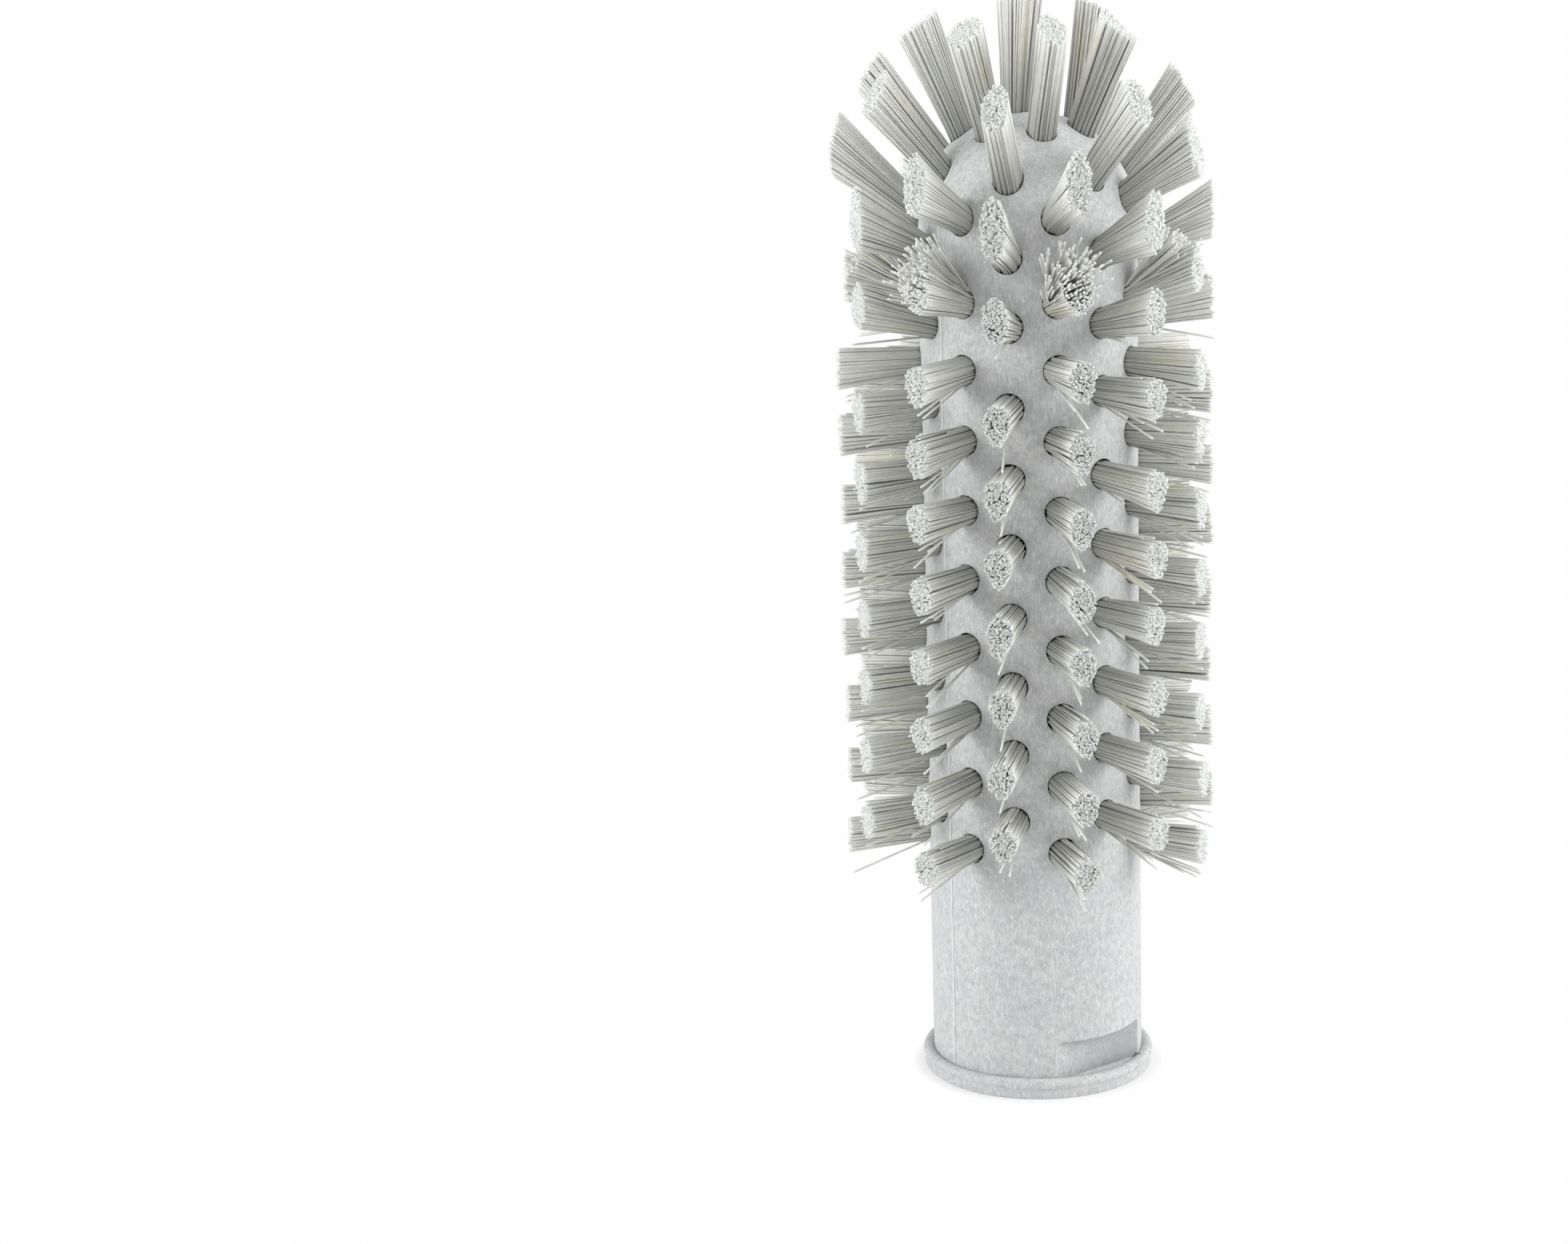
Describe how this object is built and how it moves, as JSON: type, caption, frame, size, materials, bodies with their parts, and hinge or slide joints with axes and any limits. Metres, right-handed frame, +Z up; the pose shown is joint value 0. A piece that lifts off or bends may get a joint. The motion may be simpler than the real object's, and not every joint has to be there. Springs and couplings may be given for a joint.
{
  "type": "valve brush",
  "caption": "Cylindrical screw-on cleaning brush head with a domed top, staggered radial tufts, a beaded foot flange, wrench flats and a blind handle socket.",
  "frame": {"origin": "centre of the foot, on the surface that the brush stands on", "axes": "+Z up along the block's axis to the crown tuft, -Y towards the side that the picture shows, +X to that side's right"},
  "size_m": [0.0602, 0.0601, 0.177],
  "materials": {
    "block": "moulded light grey polypropylene, matte and faintly mottled",
    "filament": "grey-ivory polyester filament, translucent, cut ends lighter"
  },
  "bodies": {
    "root": {"brush_block": "block", "barrel_tufts_01": "filament", "barrel_tufts_02": "filament", "barrel_tufts_03": "filament", "barrel_tufts_04": "filament", "barrel_tufts_05": "filament", "barrel_tufts_06": "filament", "barrel_tufts_07": "filament", "barrel_tufts_08": "filament", "barrel_tufts_09": "filament", "barrel_tufts_10": "filament", "barrel_tufts_11": "filament", "barrel_tufts_12": "filament", "barrel_tufts_13": "filament", "barrel_tufts_14": "filament", "dome_tufts_01": "filament", "dome_tufts_02": "filament", "dome_tufts_03": "filament", "dome_tufts_04": "filament", "dome_tufts_05": "filament", "dome_tufts_06": "filament", "dome_tufts_07": "filament", "dome_tufts_08": "filament", "dome_tufts_09": "filament", "dome_tufts_10": "filament", "dome_tufts_11": "filament", "dome_tufts_12": "filament", "dome_tufts_13": "filament", "dome_tufts_14": "filament", "crown_tuft": "filament"}
  },
  "joints": []
}
